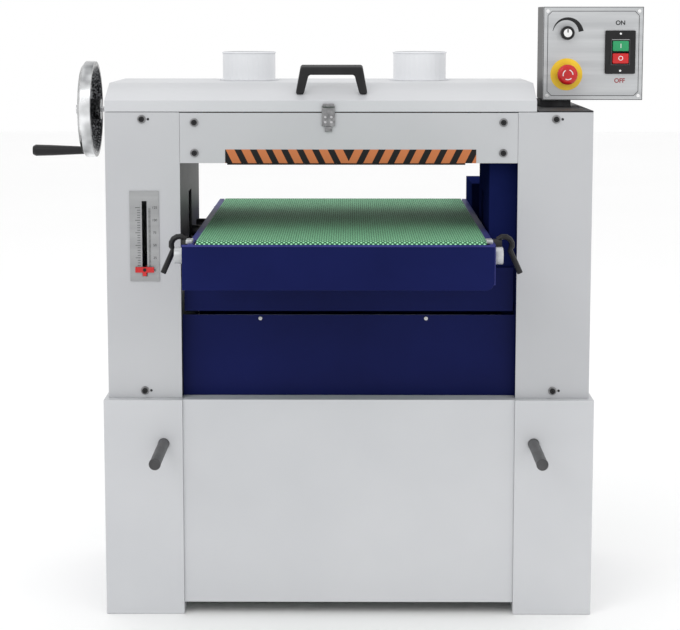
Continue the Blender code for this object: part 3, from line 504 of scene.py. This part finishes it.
# fasteners of the columns and the beam, and beside each column bolt a dark disc of painted shade for an
# open hole
bolt = dict(washer=0.0085, washerThick=0.0014, washerSoften=0.0004, head=0.0056, headDepth=0.0042,
            headSoften=0.0005, socket=0.0026, socketWall=0.0002, socketDepth=0.0022, columnIn=0.073,
            columnHigh=0.0135, columnLow=0.0150, beamIn=0.0290, beamHigh=0.019, beamLow=0.020)
holeShade = dict(radius=0.0026, thick=0.0004, soften=0.0001, sides=20, aside=0.0125)


def boltMaster():
    washer = turnedHead(bolt["washer"], bolt["washerThick"], bolt["washerSoften"])
    paintOn(washer, zincPlate)
    head = turnedHead(bolt["head"], bolt["headDepth"], bolt["headSoften"],
                      place=(0, -bolt["washerThick"], 0))
    paintOn(head, finishes["black_plastic"])
    margin = bolt["head"] - bolt["socket"] - bolt["headSoften"]
    sinkTop(head, margin, bolt["socketWall"], bolt["socketDepth"])
    return joinInto(washer, head)


def columnBolts():
    master = boltMaster()
    # painted shade: a thin dark disc stands for the shade inside an open hole
    hole = turnedHead(holeShade["radius"], holeShade["thick"], holeShade["soften"],
                      sides=holeShade["sides"])
    paintOn(hole, finishes["dark_paint"])
    across = (coverLow.x + bolt["columnIn"], rightEdge - bolt["columnIn"])
    up = (coverHigh.z - bolt["columnHigh"], coverLow.z + bolt["columnLow"])
    onColumns = [(x, z) for x in across for z in up]
    across = (beamLow.x + bolt["beamIn"], beamHigh.x - bolt["beamIn"])
    up = (beamHigh.z - bolt["beamHigh"], beamLow.z + bolt["beamLow"])
    onBeam = [(x, z) for x in across for z in up]
    for number, (x, z) in enumerate(onColumns + onBeam):
        copyTo(master, f"bolt_{number}", (x, frontFace, z), "stand")
        if number < len(onColumns):
            place = (x + holeShade["aside"], frontFace, z)
            copyTo(hole, f"bolt_hole_shade_{number}", place, "stand")
    discard(master)
    discard(hole)


columnBolts()
print("bolts set")


# slanted stripe on the beam, with the rubber strip under it
stripe = dict(left=0.0895, right=0.0820, tall=0.027, thick=0.0005, soften=0.0001, pitch=0.0305,
              slope=0.5, orange=(0.50, 0.165, 0.060), black=(0.010, 0.010, 0.010), edge=(0.55, 0.57),
              shine=0.15, rough=0.45)
seal = dict(left=0.093, right=0.103, drop=0.0034, front=0.001, back=0.016, gap=0.0002, soften=0.0008)


def slanted(name):
    # stripes that lean towards the middle from both sides
    material, nodes, links, shader, coords = startFinish(name, shine=stripe["shine"])
    x, _, z = splitPlace(nodes, links, coords)
    reckon = reckoner(nodes, links)
    away = reckon("ABSOLUTE", reckon("SUBTRACT", x, middleX))
    lean = reckon("SUBTRACT", away, reckon("MULTIPLY", z, stripe["slope"]))
    along = reckon("FRACT", reckon("DIVIDE", lean, stripe["pitch"]))
    tone = twoTone(nodes, links, along, stripe["orange"], stripe["black"], stripe["edge"])
    links.new(tone, shader.inputs["Base Color"])
    shader.inputs["Roughness"].default_value = stripe["rough"]
    return material


def beamStripe():
    low = (beamLow.x + stripe["left"], frontFace - stripe["thick"], beamLow.z)
    high = (beamHigh.x - stripe["right"], frontFace, beamLow.z + stripe["tall"])
    tape = bevelledBlock(low, high, stripe["soften"])
    settle(tape, "beam_stripe", "stand", slanted("stripe"))
    low = (beamLow.x + seal["left"], frontFace + seal["front"], beamLow.z - seal["drop"])
    high = (beamHigh.x - seal["right"], frontFace + seal["back"], beamLow.z - seal["gap"])
    strip = bevelledBlock(low, high, seal["soften"])
    settle(strip, "beam_seal", "stand", finishes["drive_rubber"])


# lip that closes the guard up to the beam
guardLip = dict(gap=0.0003, soften=0.0006)


def guardTop():
    low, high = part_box("right_inner_guard")
    top = (high.x, high.y, beamLow.z - guardLip["gap"])
    lip = bevelledBlock((low.x, low.y, high.z), top, guardLip["soften"])
    settle(lip, "guard_lip", "stand", litNavyPaint)


# small screws along the gap of the navy covers
gapScrew = dict(radius=0.0040, depth=0.0022, soften=0.0006, sides=24, slot=0.0009, slotWall=0.0001,
                slotDepth=0.0010, fromMiddle=(-0.177, 0.155), drop=0.007)


def coverScrews():
    low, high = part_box("lower_front_cover")
    master = turnedHead(gapScrew["radius"], gapScrew["depth"], gapScrew["soften"],
                        sides=gapScrew["sides"])
    paintOn(master, finishes["steel"])
    margin = gapScrew["radius"] - gapScrew["soften"] - gapScrew["slot"]
    sinkTop(master, margin, gapScrew["slotWall"], gapScrew["slotDepth"])
    for number, x in enumerate(gapScrew["fromMiddle"]):
        place = (middleX + x, low.y, high.z - gapScrew["drop"])
        copyTo(master, f"cover_screw_{number}", place, "stand")
    discard(master)


beamStripe()
guardTop()
coverScrews()
print("stripe and cover screws set")


# rims on the dust ports
rim = dict(bead=0.0017, drop=0.0019, flange=0.008, segments=72, beadSegments=10)


def portRims():
    for name in ("left_dust_port", "right_dust_port"):
        low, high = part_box(name)
        fresh()
        place = (middle(low.x, high.x), middle(low.y, high.y), high.z - rim["drop"])
        radius = (high.x - low.x) / 2 - rim["flange"]
        bpy.ops.mesh.primitive_torus_add(location=place, major_radius=radius, minor_radius=rim["bead"],
                                         major_segments=rim["segments"],
                                         minor_segments=rim["beadSegments"])
        settle(bpy.context.object, f"{name}_rim", "hood", portPaint)


# rivets on the latch and its catch on the beam
rivet = dict(radius=0.0026, depth=0.0012, soften=0.0005, sides=20, aside=0.007, up=(0.008, 0.018),
             back=0.0042)
catch = dict(wide=0.014, tall=0.010, deep=0.004, gap=0.001, soften=0.0008)


def latchDetail():
    low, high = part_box("hood_latch")
    master = turnedHead(rivet["radius"], rivet["depth"], rivet["soften"], sides=rivet["sides"])
    paintOn(master, finishes["steel"])
    for number, up in enumerate(rivet["up"]):
        for side, x in (("a", low.x + rivet["aside"]), ("b", high.x - rivet["aside"])):
            place = (x, low.y + rivet["back"], low.z + up)
            copyTo(master, f"latch_rivet_{number}{side}", place, "latch")
    discard(master)
    centre, half, top = middle(low.x, high.x), catch["wide"] / 2, low.z - catch["gap"]
    block = bevelledBlock((centre - half, frontFace - catch["deep"], top - catch["tall"]),
                          (centre + half, frontFace, top), catch["soften"])
    settle(block, "latch_catch", "stand", zincPlate)


# hinge of the hood, with black rings of painted shade in the gaps between its knuckles, and the screws
# at the rear
hinge = dict(knuckle=0.060, leafBack=0.0030, gap=0.0010, proud=0.0002, soften=0.0001, sides=28,
             screwEvery=0.095, screwIn=0.030, screwDrop=0.022)
rearScrew = dict(radius=0.0036, depth=0.0016, soften=0.0006, sides=24, fromEdge=0.02)


def hingeGapShade():
    low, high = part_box("hood_hinge")
    pinY, pinZ = pinOf["hood_open"][1:]
    # painted shade: thin black rings stand for the shade in the gaps between the knuckles
    split = turnedHead(high.z - pinZ + hinge["proud"], hinge["gap"], hinge["soften"],
                       sides=hinge["sides"], turn=facingRight,
                       place=(low.x + hinge["knuckle"], pinY, pinZ))
    count = int((high.x - low.x) / hinge["knuckle"]) - 1
    repeatAlong(split, count, (0, 0, hinge["knuckle"]))
    settle(split, "hinge_split_shade", "stand", finishes["black_plastic"])


def rearScrews():
    master = turnedHead(rearScrew["radius"], rearScrew["depth"], rearScrew["soften"],
                        sides=rearScrew["sides"], turn=facingBack)
    paintOn(master, zincPlate)
    low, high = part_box("hood_hinge")
    pinY, pinZ = pinOf["hood_open"][1:]
    count = int((high.x - low.x - 2 * hinge["screwIn"]) / hinge["screwEvery"]) + 1
    for number in range(count):
        x = low.x + hinge["screwIn"] + number * hinge["screwEvery"]
        place = (x, pinY - hinge["leafBack"], pinZ - hinge["screwDrop"])
        copyTo(master, f"hinge_screw_{number}", place, "stand")
    edge = rearScrew["fromEdge"]
    for name in ("rear_base_panel", "lower_rear_cover"):
        low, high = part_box(name)
        across = (low.x + edge, middle(low.x, high.x), high.x - edge)
        for row, z in enumerate((low.z + edge, high.z - edge)):
            for column, x in enumerate(across):
                copyTo(master, f"{name}_screw_{row}{column}", (x, high.y, z), "stand")
    discard(master)


portRims()
latchDetail()
hingeGapShade()
rearScrews()
print("hood dressed")


# control panel: border and screws
panelLow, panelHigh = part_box("control_panel")
panel = dict(inset=0.0085, edge=0.0003, line=0.0010, notch=0.009, proud=0.0004)
panelScrew = dict(fromEdge=0.0088, radius=0.0036, depth=0.0016, soften=0.0004, sides=24, margin=0.0022,
                  slotWall=0.0001, slotDepth=0.0007)


def panelLine(name, inset, notch):
    # a thin line round the panel, with its corners cut off where there is a notch
    fresh()
    bpy.ops.mesh.primitive_plane_add(size=1)
    border = bpy.context.object
    border.scale = (panelHigh.x - panelLow.x - 2 * inset, panelHigh.z - panelLow.z - 2 * inset, 1)
    bpy.ops.object.transform_apply(location=True, rotation=True, scale=True)
    pickOnly(border)
    bpy.ops.object.mode_set(mode="EDIT")
    bpy.ops.mesh.select_all(action="SELECT")
    if notch:
        bpy.ops.mesh.bevel(offset=notch, affect="VERTICES", segments=1)
        bpy.ops.mesh.select_all(action="SELECT")
    bpy.ops.mesh.inset(thickness=panel["line"])
    bpy.ops.mesh.delete(type="FACE")
    leaveEdit()
    applyModifier(border, "SOLIDIFY", thickness=panel["proud"], offset=1)
    border.rotation_euler = facingFront
    border.location = (middle(panelLow.x, panelHigh.x), panelLow.y, middle(panelLow.z, panelHigh.z))
    settle(border, name, "stand", finishes["black_plastic"])


def panelScrews():
    master = turnedHead(panelScrew["radius"], panelScrew["depth"], panelScrew["soften"],
                        sides=panelScrew["sides"])
    paintOn(master, whiteMark)
    sinkTop(master, panelScrew["margin"], panelScrew["slotWall"], panelScrew["slotDepth"])
    edge = panelScrew["fromEdge"]
    for column, x in enumerate((panelLow.x + edge, panelHigh.x - edge)):
        for row, z in enumerate((panelLow.z + edge, panelHigh.z - edge)):
            copyTo(master, f"panel_screw_{column}{row}", (x, panelLow.y, z), "stand")
    discard(master)


# control panel: speed dial
dial = dict(reach=0.0290, thick=0.0052, thinnest=0.10, points=14, fromDegrees=172, sweepDegrees=166,
            roundness=2)
knobCap = dict(radius=0.0085, depth=0.0012, soften=0.0005)
knobMark = dict(half=0.0011, front=0.0018, back=0.0010, foot=0.001, tip=0.0078, soften=0.0002)


def speedArc(x, z):
    # a mark that grows round the knob from slow to fast
    fresh()
    bpy.ops.curve.primitive_nurbs_path_add()
    arc = bpy.context.object
    spline = arc.data.splines[0]
    spline.points.add(dial["points"] - len(spline.points))
    for index, point in enumerate(spline.points):
        share = index / (dial["points"] - 1)
        angle = math.radians(dial["fromDegrees"] - dial["sweepDegrees"] * share)
        point.co = (x + dial["reach"] * math.cos(angle), panelLow.y,
                    z + dial["reach"] * math.sin(angle), 1)
        point.radius = dial["thinnest"] + (1 - dial["thinnest"]) * share
    spline.use_endpoint_u = True
    arc.data.bevel_depth = dial["thick"]
    arc.data.bevel_resolution = dial["roundness"]
    arc.data.use_fill_caps = True
    bpy.ops.object.convert(target="MESH")
    arc = bpy.context.object
    arc.scale.y = panel["proud"] / dial["thick"]
    arc.location.y = panelLow.y * (1 - arc.scale.y)
    settle(arc, "speed_arc", "stand", finishes["black_plastic"])


def speedDial():
    low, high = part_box("speed_knob")
    x, face, z = middle(low.x, high.x), low.y, middle(low.z, high.z)
    speedArc(x, z)
    cap = turnedHead(knobCap["radius"], knobCap["depth"], knobCap["soften"], place=(x, face, z))
    pointer = bevelledBlock((x - knobMark["half"], face - knobMark["front"], z + knobMark["foot"]),
                            (x + knobMark["half"], face - knobMark["back"], z + knobMark["tip"]),
                            knobMark["soften"])
    settle(cap, "knob_cap", "knob", whiteMark)
    settle(pointer, "knob_pointer", "knob", finishes["black_plastic"])


# control panel: stop button with its disc
disc = dict(radius=0.0325, hole=0.0092, thick=0.0010)
stopHead = dict(stand=0.008, crown=0.0072, crownSteps=6, sides=64)
stopNeck = dict(radius=0.0078, past=0.004, soften=0.0006, lap=0.0002)
stopArc = dict(outer=0.0108, inner=0.0090, thick=0.0005, count=3, share=0.62)


def stopButton():
    low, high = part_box("stop_mushroom")
    x, z = middle(low.x, high.x), middle(low.z, high.z)
    plate = flatRing(disc["radius"], disc["hole"], disc["thick"], (x, panelLow.y, z))
    settle(plate, "stop_disc", "stand", yellowDisc)
    foot = panelLow.y - stopHead["stand"]
    cap = turnedHead((high.x - low.x) / 2, foot - low.y, stopHead["crown"], sides=stopHead["sides"],
                     place=(x, foot, z), steps=stopHead["crownSteps"])
    neckLong = stopHead["stand"] + stopNeck["past"]
    neck = turnedHead(stopNeck["radius"], neckLong, stopNeck["soften"],
                      place=(x, foot + neckLong - stopNeck["lap"], z))
    for part in (cap, neck):
        paintOn(part, finishes["red_plastic"])
    whole = settle(joinInto(cap, neck), "stop_mushroom_soft", "mushroom")
    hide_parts("stop_mushroom")
    arcs = flatRing(stopArc["outer"], stopArc["inner"], stopArc["thick"], (x, low.y, z),
                    arcs=(stopArc["count"], stopArc["share"]))
    settle(arcs, "stop_arcs", "mushroom", whiteMark)


# control panel: switch with its words
word = dict(size=0.0125, thick=0.0006, bold=0.0003, above=0.0150, below=0.0140, keySize=0.013)
bezel = dict(sill=0.0016, wide=0.0016, proud=0.0016, split=0.0002, soften=0.0004)
switchScrew = dict(radius=0.0022, depth=0.0010, soften=0.0004, sides=20, fromEdge=0.0065)


def switchBezel(face):
    # rails round the two buttons; the top one is pale, a painted highlight on the top rail
    start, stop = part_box("start_button")[1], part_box("stop_button")[0]
    sill, wide, split = bezel["sill"], bezel["wide"], bezel["split"]
    left, right, foot, top = stop.x - sill, start.x + sill, stop.z - sill, start.z + sill
    rails = []
    for x0, z0, x1, z1, finish in ((left - wide, foot - wide, left, top + wide, barPaint),
                                   (right, foot - wide, right + wide, top + wide, barPaint),
                                   (left + split, foot - wide, right - split, foot, barPaint),
                                   (left + split, top, right - split, top + wide, scaleMetal)):
        rails.append(bevelledBlock((x0, face - bezel["proud"], z0), (x1, face, z1), bezel["soften"]))
        paintOn(rails[-1], finish)
    settle(joinInto(*rails), "switch_bezel", "stand")


def switchDetail():
    low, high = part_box("switch_plate")
    x = middle(low.x, high.x)
    above = (x, panelLow.y, high.z + word["above"])
    onWord = letters("ON", word["size"], word["thick"], above, word["bold"])
    settle(onWord, "word_on", "stand", finishes["black_plastic"])
    below = (x, panelLow.y, low.z - word["below"])
    offWord = letters("OFF", word["size"], word["thick"], below, word["bold"])
    settle(offWord, "word_off", "stand", darkRed)
    switchBezel(low.y)
    screw = turnedHead(switchScrew["radius"], switchScrew["depth"], switchScrew["soften"],
                       sides=switchScrew["sides"])
    paintOn(screw, whiteMark)
    for number, z in enumerate((low.z + switchScrew["fromEdge"], high.z - switchScrew["fromEdge"])):
        copyTo(screw, f"switch_screw_{number}", (x, low.y, z), "stand")
    discard(screw)
    for name, body, mark in (("start_button", "start", "I"), ("stop_button", "stop", "O")):
        keyLow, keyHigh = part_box(name)
        key = letters(mark, word["keySize"], word["thick"], (x, keyLow.y, middle(keyLow.z, keyHigh.z)))
        settle(key, f"{name}_mark", body, whiteMark)


panelLine("panel_border", panel["inset"], panel["notch"])
panelLine("panel_edge", panel["edge"], 0)
panelScrews()
speedDial()
stopButton()
switchDetail()
print("control panel dressed")


# lines and numbers of the height scale
scaleMarks = dict(step=0.005, foot=0.022, thick=0.0009, proud=0.0003, soften=0.0001, aside=0.008)
scaleRows = {"scale_lines": dict(length=0.006, count=25, every=1, side="left"),
             "scale_long_lines": dict(length=0.010, count=6, every=5, side="left"),
             "scale_fine_lines": dict(length=0.0045, count=50, every=0.5, side="right")}
scaleNumbers = dict(size=0.0068, thick=0.0004, count=6, every=5, counts=25, fromEdge=0.0085)
pointerScrew = dict(radius=0.0034, depth=0.0010, soften=0.0003, sides=24, drop=0.0055)


def heightScale():
    low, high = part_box("scale_plate")
    centre = middle(low.x, high.x)
    start = low.z + scaleMarks["foot"]
    half = scaleMarks["thick"] / 2
    for name, row in scaleRows.items():
        left = centre + scaleMarks["aside"]
        if row["side"] == "left":
            left = centre - scaleMarks["aside"] - row["length"]
        line = bevelledBlock((left, low.y - scaleMarks["proud"], start - half),
                             (left + row["length"], low.y, start + half), scaleMarks["soften"])
        repeatAlong(line, row["count"], (0, 0, scaleMarks["step"] * row["every"]))
        settle(line, name, "stand", finishes["black_plastic"])
    for number in range(scaleNumbers["count"]):
        place = (high.x - scaleNumbers["fromEdge"], low.y,
                 start + number * scaleNumbers["every"] * scaleMarks["step"])
        figure = letters(str(number * scaleNumbers["counts"]), scaleNumbers["size"],
                         scaleNumbers["thick"], place)
        settle(figure, f"scale_number_{number}", "stand", finishes["black_plastic"])
    pointerLow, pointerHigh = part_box("scale_pointer")
    dot = turnedHead(pointerScrew["radius"], pointerScrew["depth"], pointerScrew["soften"],
                     sides=pointerScrew["sides"],
                     place=(centre, pointerLow.y, pointerHigh.z - pointerScrew["drop"]))
    settle(dot, "pointer_screw", "table", finishes["black_plastic"])


heightScale()
print("scale dressed")


# table: a painted highlight strip along the top edge of the apron, brackets and belt tracking knobs
apronHighlight = dict(tall=0.004, proud=0.001, soften=0.0004)
bracket = dict(wide=0.012, deep=0.030, tall=0.007, back=0.012, inLeft=0.004, inRight=0.016, sink=0.0008,
               soften=0.001)
trackingKnob = dict(radius=0.0110, depth=0.022, soften=0.0025, sides=28, places=(-0.085, 0.035),
                    drop=0.014)


def dressTable():
    low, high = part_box("front_apron")
    # painted highlight: a thin lighter blue strip stands for the light on the apron's top edge
    edge = bevelledBlock((low.x, low.y - apronHighlight["proud"], high.z - apronHighlight["tall"]),
                         (high.x, low.y, high.z), apronHighlight["soften"])
    settle(edge, "apron_highlight", "table", finishes["bed_casting"])
    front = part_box("conveyor_belt")[0].y + bracket["back"]
    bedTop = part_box("table_bed")[1].z
    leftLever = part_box("left_table_lever")[1].x
    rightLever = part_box("right_table_lever")[0].x
    seat = bedTop - bracket["sink"]
    for side, start in (("left", leftLever - bracket["inLeft"]),
                        ("right", rightLever - bracket["inRight"])):
        block = bevelledBlock((start, front, seat),
                              (start + bracket["wide"], front + bracket["deep"], seat + bracket["tall"]),
                              bracket["soften"])
        settle(block, f"{side}_bracket", "table", finishes["aluminium_plate"])
    for number, y in enumerate(trackingKnob["places"]):
        knob = turnedHead(trackingKnob["radius"], trackingKnob["depth"], trackingKnob["soften"],
                          sides=trackingKnob["sides"], turn=facingLeft,
                          place=(leftLever, y, bedTop - trackingKnob["drop"]))
        settle(knob, f"tracking_knob_{number}", "table", finishes["black_plastic"])


# bosses on the ends of the front roller
rollerEnd = dict(inner=0.0115, soften=0.0016, sides=40, margin=0.45, lipWall=0.0004, lip=0.0015)
leftBoss = dict(radius=0.0155, out=0.0150)
rightBoss = dict(radius=0.0165, out=0.0045)


def rollerEnds():
    low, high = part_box("front_roller")
    y, z = middle(low.y, high.y), middle(low.z, high.z)
    for side, size, turn, start in (("left", leftBoss, facingLeft, low.x + rollerEnd["inner"]),
                                    ("right", rightBoss, facingRight, high.x - rollerEnd["inner"])):
        boss = turnedHead(size["radius"], rollerEnd["inner"] + size["out"], rollerEnd["soften"],
                          sides=rollerEnd["sides"], turn=turn, place=(start, y, z))
        sinkTop(boss, size["radius"] * rollerEnd["margin"], rollerEnd["lipWall"], rollerEnd["lip"])
        settle(boss, f"{side}_roller_end", "front_feed", finishes["aluminium_plate"])


dressTable()
rollerEnds()
print("table dressed")


# sleeves of the lifting bars and nut of the handwheel
sleeve = dict(wall=0.0005, length=0.0045, past=0.0006, soften=0.0012, sides=36, steps=3, margin=0.0016,
              lipWall=0.0004, lip=0.0005)
wheelNut = dict(radius=0.0105, depth=0.008, soften=0.001, sides=6)


def barSleeves():
    for side in ("left", "right"):
        low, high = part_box(f"{side}_lifting_bar")
        place = (middle(low.x, high.x), low.y + sleeve["length"], middle(low.z, high.z))
        cap = turnedHead((high.x - low.x) / 2 + sleeve["wall"], sleeve["length"] + sleeve["past"],
                         sleeve["soften"], sides=sleeve["sides"], place=place, steps=sleeve["steps"])
        sinkTop(cap, sleeve["margin"], sleeve["lipWall"], sleeve["lip"])
        settle(cap, f"{side}_bar_sleeve", f"{side}_bar", barPaint)


def handwheelNut():
    low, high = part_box("handwheel")
    nut = turnedHead(wheelNut["radius"], wheelNut["depth"], wheelNut["soften"], sides=wheelNut["sides"],
                     turn=facingLeft, place=(low.x, middle(low.y, high.y), middle(low.z, high.z)))
    settle(nut, "wheel_nut", "wheel", finishes["steel"])


barSleeves()
handwheelNut()
print("bars and wheel dressed")


# floor, light and camera
floorLook = dict(dark=(0.965, 0.965, 0.965), light=(0.980, 0.980, 0.980), clouds=0.5, grain=30,
                 rough=(0.7, 0.8), metallic=0, bump=0)
studio = dict(floorSize=30, floorDrop=0.0004, airStrength=1.0)
lights = {"key": dict(place=(-2.4, -3.4, 3.6), aim=(0, 0, 0.7), power=36, size=2.5),
          "fill": dict(place=(2.8, -3.0, 2.2), aim=(0, 0, 0.6), power=10, size=2.5),
          "top": dict(place=(0, 0.6, 4.2), aim=(0, 0, 0.8), power=16, size=3)}
viewpoint = dict(place=(0.0327, -3.6993, 1.1954), pitch=6.994, yaw=0.317, lens=93.82, sensor=36,
                 shift=-0.1176)


def setLights():
    for name, lamp in lights.items():
        fresh()
        bpy.ops.object.light_add(type="AREA", location=lamp["place"])
        light = bpy.context.object
        light.name = name
        light.data.energy = lamp["power"]
        light.data.size = lamp["size"]
        towards = Vector(lamp["aim"]) - Vector(lamp["place"])
        light.rotation_euler = towards.to_track_quat("-Z", "Y").to_euler()


def setStage():
    fresh()
    bpy.ops.mesh.primitive_plane_add(size=studio["floorSize"], location=(0, 0, -studio["floorDrop"]))
    floor = bpy.context.object
    floor.name = "floor"
    paintOn(floor, grainFinish("floor", floorLook))
    world = bpy.context.scene.world or bpy.data.worlds.new("World")
    bpy.context.scene.world = world
    world.use_nodes = True
    sky = world.node_tree.nodes["Background"]
    sky.inputs["Color"].default_value = (1, 1, 1, 1)
    sky.inputs["Strength"].default_value = studio["airStrength"]


def setCamera():
    bpy.ops.object.camera_add(location=viewpoint["place"])
    camera = bpy.context.object
    camera.rotation_euler = (math.radians(90 - viewpoint["pitch"]), 0, math.radians(viewpoint["yaw"]))
    camera.data.sensor_width = viewpoint["sensor"]
    camera.data.lens = viewpoint["lens"]
    camera.data.shift_y = viewpoint["shift"]
    bpy.context.scene.camera = camera
    bpy.context.scene.view_settings.view_transform = "Standard"


setStage()
setLights()
setCamera()
print("stage set")
